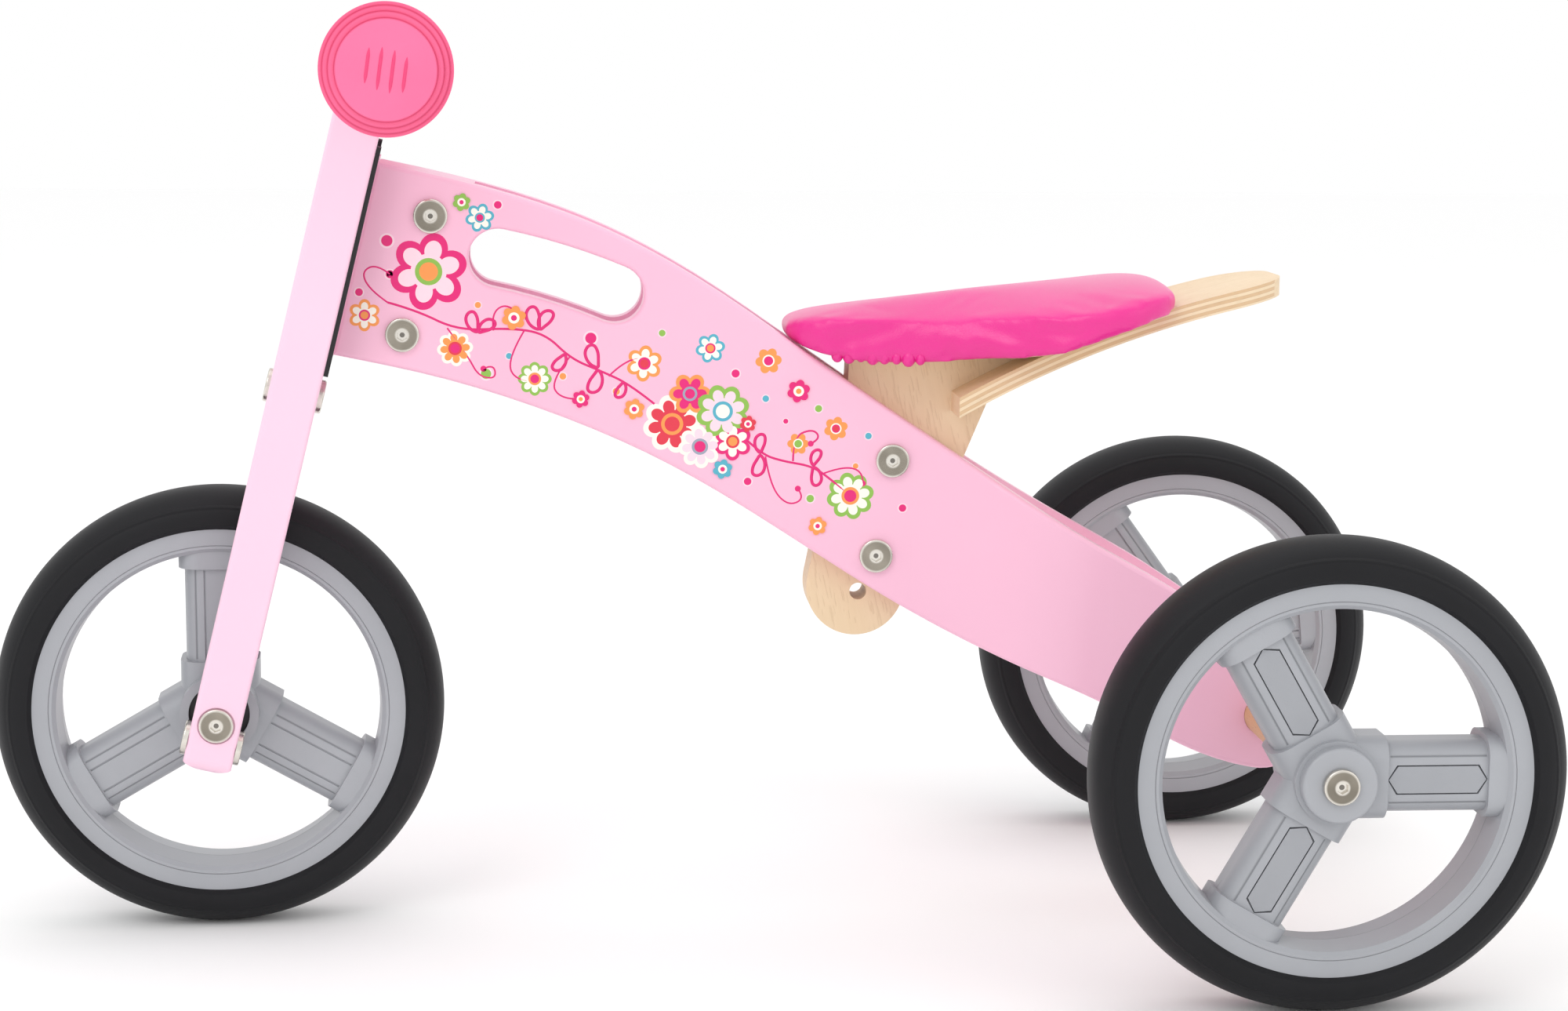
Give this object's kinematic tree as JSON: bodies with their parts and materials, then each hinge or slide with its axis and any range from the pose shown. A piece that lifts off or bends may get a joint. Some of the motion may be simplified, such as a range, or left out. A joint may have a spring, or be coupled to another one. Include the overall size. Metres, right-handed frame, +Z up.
{
  "type": "toddler balance bike",
  "caption": "Wooden toddler balance bike with a wheel in front, a pair on a dowel axle behind, a padded saddle on a bent tail and a fork that steers.",
  "frame": {"origin": "on the ground, half way along the overall length, width centred", "axes": "+X to the rear of the bike, +Y to the rider's right, +Z up"},
  "size_m": [0.5937, 0.3252, 0.3694],
  "materials": {
    "frame_paint": "satin pink lacquer on birch plywood, rounded edges",
    "fork_paint": "satin pale pink lacquer on solid wood",
    "birch": "clear matt lacquer on birch plywood",
    "dowel_wood": "clear matt lacquer on beech dowel",
    "cover": "glossy hot pink soft vinyl, gathered at the nose",
    "grip_rubber": "matt moulded soft rubber",
    "black_rubber": "matt black strip",
    "tyre_foam": "matt black closed-cell foam with a slick tread",
    "wheel_plastic": "grey moulded plastic, low gloss",
    "bush_plastic": "black nylon",
    "nickel": "bright nickel plate",
    "steel": "plain steel tube and pin",
    "nylon": "natural nylon washer"
  },
  "bodies": {
    "frame": {"side_plate_left": "frame_paint", "side_plate_right": "frame_paint", "head_block": "frame_paint", "frame_bolts": "nickel", "frame_cap_nuts": "nickel", "tail_strip": "birch", "saddle_base": "birch", "saddle_cushion": "cover", "seat_post": "birch", "post_screws": "steel", "tail_screws": "steel", "rear_axle_dowel": "dowel_wood", "rear_axle_sleeves": "steel", "rear_axle_bolts": "nickel"},
    "fork": {"fork": "fork_paint", "crown_block": "fork_paint", "handlebar": "dowel_wood", "grip_left": "grip_rubber", "grip_right": "grip_rubber", "steering_pin": "steel", "steering_washers": "nylon", "bumper_strips": "black_rubber", "fork_cross_bolts": "nickel", "fork_cross_nuts": "nickel", "front_axle_sleeve": "steel", "front_axle_bolts": "nickel", "front_spacers": "nylon"},
    "front_wheel": {"front_wheel_tyre": "tyre_foam", "front_wheel_rim": "wheel_plastic", "front_wheel_spoke_panels": "wheel_plastic", "front_wheel_bushes": "bush_plastic"},
    "rear_wheel_left": {"rear_wheel_left_tyre": "tyre_foam", "rear_wheel_left_rim": "wheel_plastic", "rear_wheel_left_spoke_panels": "wheel_plastic", "rear_wheel_left_bushes": "bush_plastic"},
    "rear_wheel_right": {"rear_wheel_right_tyre": "tyre_foam", "rear_wheel_right_rim": "wheel_plastic", "rear_wheel_right_spoke_panels": "wheel_plastic", "rear_wheel_right_bushes": "bush_plastic"}
  },
  "joints": [
    {"name": "steering", "type": "hinge", "parent": "frame", "child": "fork", "pos_m": [-0.208, 0, 0.0889], "axis": [0.2385, 0, 0.9711], "range_deg": [-22.5, 17.5]},
    {"name": "front_wheel_spin", "type": "hinge", "parent": "fork", "child": "front_wheel", "pos_m": [-0.208, 0, 0.0889], "axis": [-0.0424, 0.999, 0.0104], "continuous": true},
    {"name": "rear_left_spin", "type": "hinge", "parent": "frame", "child": "rear_wheel_left", "pos_m": [0.208, -0.14, 0.0889], "axis": [0, 1, 0], "continuous": true},
    {"name": "rear_right_spin", "type": "hinge", "parent": "frame", "child": "rear_wheel_right", "pos_m": [0.208, 0.14, 0.0889], "axis": [0, 1, 0], "continuous": true}
  ]
}
